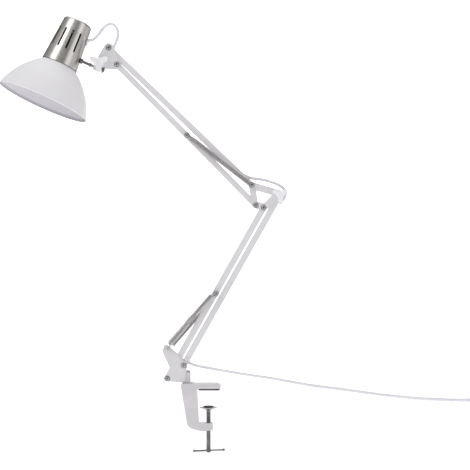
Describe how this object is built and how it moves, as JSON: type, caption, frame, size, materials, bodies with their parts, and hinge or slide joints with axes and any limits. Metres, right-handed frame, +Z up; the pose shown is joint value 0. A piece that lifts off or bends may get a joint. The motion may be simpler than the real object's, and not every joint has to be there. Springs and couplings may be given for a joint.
{
  "type": "swing arm desk lamp",
  "caption": "Spring-balanced swing arm desk lamp with linked square-tube arms, a dome shade with vented cap, and a screw clamp for a table edge.",
  "frame": {"origin": "middle of the jaw pad's underside, on the table top that the clamp grips", "axes": "+Z up; the arms stand in the XZ plane, the head leans towards -X, the clamp's jaws open towards +X, the near side is -Y"},
  "size_m": [0.9753, 0.2483, 0.7843],
  "materials": {
    "arm_paint": "satin off-white",
    "plate_paint": "satin off-white",
    "shade_paint": "matte white outside and inside",
    "cap_metal": "brushed nickel",
    "spring_steel": "plain steel wire",
    "fasteners": "bright zinc plate",
    "rod_chrome": "polished",
    "dark_steel": "dark grey, slightly oily",
    "clamp_paint": "satin off-white",
    "joint_metal": "satin",
    "end_castings": "satin off-white",
    "knob_plastic": "milky white",
    "bush_plastic": "white",
    "pad": "black, matte",
    "holder_black": "black",
    "cord": "white flexible jacket",
    "holder_plastic": "white",
    "contacts": "plain",
    "tie": "white",
    "switch": "white"
  },
  "bodies": {
    "clamp": {"clamp_frame": "clamp_paint", "jaw_pad": "pad", "swivel_bush": "bush_plastic", "cord_run": "cord", "switch_body": "switch", "cord_coil": "cord", "coil_tie": "tie", "cord_ends": "cord", "plug_body": "switch", "plug_pins": "rod_chrome"},
    "foot": {"clamp_foot": "fasteners", "foot_pad": "pad"},
    "clamp_screw": {"clamp_screw": "dark_steel"},
    "turning_bar": {"clamp_turning_bar": "dark_steel"},
    "base": {"base_cheek_near": "plate_paint", "base_cheek_far": "plate_paint", "base_stem": "plate_paint", "base_fasteners": "fasteners", "cord_lead": "cord"},
    "lower_front": {"lower_front_bar": "arm_paint", "lower_front_bushes": "bush_plastic", "lower_spring_post": "fasteners"},
    "rear_foot": {"lower_rear_foot": "end_castings"},
    "rear_bar": {"lower_rear_bar": "arm_paint", "lower_rear_bush": "bush_plastic", "lower_arm_cord": "cord"},
    "elbow": {"elbow_plate_near": "plate_paint", "elbow_plate_far": "plate_paint", "elbow_fasteners": "fasteners", "elbow_bolt": "fasteners", "elbow_cord_loop": "cord"},
    "upper_main": {"upper_main_bar": "arm_paint", "upper_main_bushes": "bush_plastic", "upper_spring_post": "fasteners"},
    "top_bar": {"upper_top_bar": "arm_paint", "upper_top_bush": "bush_plastic", "upper_arm_cord": "cord"},
    "top_tip": {"upper_top_tip": "end_castings"},
    "head_bracket": {"head_plate_near": "plate_paint", "head_plate_far": "plate_paint", "head_fasteners": "fasteners", "head_bolt": "fasteners", "head_cord_loop": "cord"},
    "head_block": {"head_joint_block": "plate_paint"},
    "head": {"shade": "shade_paint", "cap": "cap_metal", "head_rod": "rod_chrome", "head_rod_nut": "dark_steel", "cap_grommet": "holder_plastic", "bulb_holder": "holder_black", "bulb_contacts": "contacts", "shade_ring": "holder_plastic", "holder_bridge": "joint_metal"},
    "lower_spring_low": {"lower_springs_base_half": "spring_steel"},
    "lower_spring_high": {"lower_springs_arm_half": "spring_steel"},
    "upper_spring_low": {"upper_springs_elbow_half": "spring_steel"},
    "upper_spring_high": {"upper_springs_arm_half": "spring_steel"},
    "elbow_knob": {"elbow_knob": "knob_plastic"},
    "head_knob": {"head_knob": "knob_plastic"},
    "rocker": {"switch_rocker": "switch"}
  },
  "joints": [
    {"name": "screw_turn", "type": "hinge", "parent": "foot", "child": "clamp_screw", "pos_m": [0, 0, -0.06], "axis": [0, 0, 1], "range_deg": [-6000, 8000]},
    {"name": "foot_slide", "type": "slide", "parent": "clamp", "child": "foot", "axis": [0, 0, 1], "range_m": [-0.0205, 0.0275]},
    {"name": "bar_slide", "type": "slide", "parent": "clamp_screw", "child": "turning_bar", "axis": [0.9744, 0.225, 0], "range_m": [-0.0205, 0.019]},
    {"name": "base_swivel", "type": "hinge", "parent": "clamp", "child": "base", "pos_m": [-0.0369, 0, 0], "axis": [0, 0, 1], "range_deg": [-180, 180], "deforming": ["cord_lead", "cord_run"]},
    {"name": "lower_arm", "type": "hinge", "parent": "base", "child": "lower_front", "pos_m": [-0.0739, 0, 0.0208], "axis": [0, -1, 0], "range_deg": [-4, 75], "deforming": ["lower_springs_base_half", "lower_springs_arm_half", "elbow_cord_loop"]},
    {"name": "rear_foot_turn", "type": "hinge", "parent": "base", "child": "rear_foot", "pos_m": [-0.0444, 0, 0.0443], "axis": [0, -1, 0], "range_deg": [-4.1, 75.1]},
    {"name": "elbow_turn", "type": "hinge", "parent": "lower_front", "child": "elbow", "pos_m": [0.09915, 0, 0.3272], "axis": [0, -1, 0], "range_deg": [-75.1, 4.1]},
    {"name": "rear_bar_turn", "type": "hinge", "parent": "elbow", "child": "rear_bar", "pos_m": [0.12865, 0, 0.3507], "axis": [0, -1, 0], "range_deg": [-4.1, 75.1]},
    {"name": "lower_spring_low_turn", "type": "hinge", "parent": "base", "child": "lower_spring_low", "pos_m": [-0.0719, 0, 0.0743], "axis": [0, -1, 0], "range_deg": [-5.6, 102]},
    {"name": "lower_spring_high_turn", "type": "hinge", "parent": "lower_front", "child": "lower_spring_high", "pos_m": [0.0141, 0, 0.1729], "axis": [0, -1, 0], "range_deg": [-1.6, 26.9]},
    {"name": "upper_arm", "type": "hinge", "parent": "elbow", "child": "upper_main", "pos_m": [0.0849, 0, 0.3314], "axis": [0, -1, 0], "range_deg": [0, 60], "deforming": ["upper_springs_elbow_half", "upper_springs_arm_half", "head_cord_loop"]},
    {"name": "top_bar_turn", "type": "hinge", "parent": "elbow", "child": "top_bar", "pos_m": [0.0777, 0, 0.3677], "axis": [0, -1, 0], "range_deg": [-0.1, 59.2]},
    {"name": "head_bracket_turn", "type": "hinge", "parent": "upper_main", "child": "head_bracket", "pos_m": [-0.1645, 0, 0.5843], "axis": [0, -1, 0], "range_deg": [-74.7, 0.1]},
    {"name": "top_tip_turn", "type": "hinge", "parent": "head_bracket", "child": "top_tip", "pos_m": [-0.1789, 0, 0.6138], "axis": [0, -1, 0], "range_deg": [-0.1, 73.8]},
    {"name": "upper_spring_low_turn", "type": "hinge", "parent": "elbow", "child": "upper_spring_low", "pos_m": [0.0777, 0, 0.3677], "axis": [0, -1, 0], "range_deg": [-0.1, 63.9]},
    {"name": "upper_spring_high_turn", "type": "hinge", "parent": "upper_main", "child": "upper_spring_high", "pos_m": [-0.0379, 0, 0.457], "axis": [0, -1, 0], "range_deg": [-0.1, 3.9]},
    {"name": "head_tilt", "type": "hinge", "parent": "head_bracket", "child": "head_block", "pos_m": [-0.19597, 0, 0.58634], "axis": [0, -1, 0], "range_deg": [-30, 55]},
    {"name": "head_swivel", "type": "hinge", "parent": "head_block", "child": "head", "pos_m": [-0.19929, 0, 0.57852], "axis": [0.9205, 0, -0.3907], "range_deg": [-90, 90]},
    {"name": "elbow_knob_turn", "type": "hinge", "parent": "elbow", "child": "elbow_knob", "pos_m": [0.12865, 0, 0.3507], "axis": [0, -1, 0], "range_deg": [0, 720]},
    {"name": "head_knob_turn", "type": "hinge", "parent": "head_bracket", "child": "head_knob", "pos_m": [-0.19597, 0, 0.58634], "axis": [0, -1, 0], "range_deg": [0, 720]},
    {"name": "rocker_turn", "type": "hinge", "parent": "clamp", "child": "rocker", "pos_m": [0.487, -0.161, 0.013], "axis": [0, 1, 0], "range_deg": [-12, 0]}
  ],
  "couplings": [
    {"joint": "screw_turn", "follows": "foot_slide", "rad_per_m": 5026.5},
    {"joint": "rear_foot_turn", "follows": "lower_arm", "ratio": 1},
    {"joint": "elbow_turn", "follows": "lower_arm", "ratio": -1},
    {"joint": "rear_bar_turn", "follows": "lower_arm", "ratio": 1},
    {"joint": "lower_spring_low_turn", "follows": "lower_arm", "ratio": 1.3565},
    {"joint": "lower_spring_high_turn", "follows": "lower_arm", "ratio": 0.3565},
    {"joint": "top_bar_turn", "follows": "upper_arm", "ratio": 0.98463},
    {"joint": "head_bracket_turn", "follows": "upper_arm", "ratio": -1.2433},
    {"joint": "top_tip_turn", "follows": "upper_arm", "ratio": 1.228},
    {"joint": "upper_spring_low_turn", "follows": "upper_arm", "ratio": 1.0636},
    {"joint": "upper_spring_high_turn", "follows": "upper_arm", "ratio": 0.0636}
  ]
}
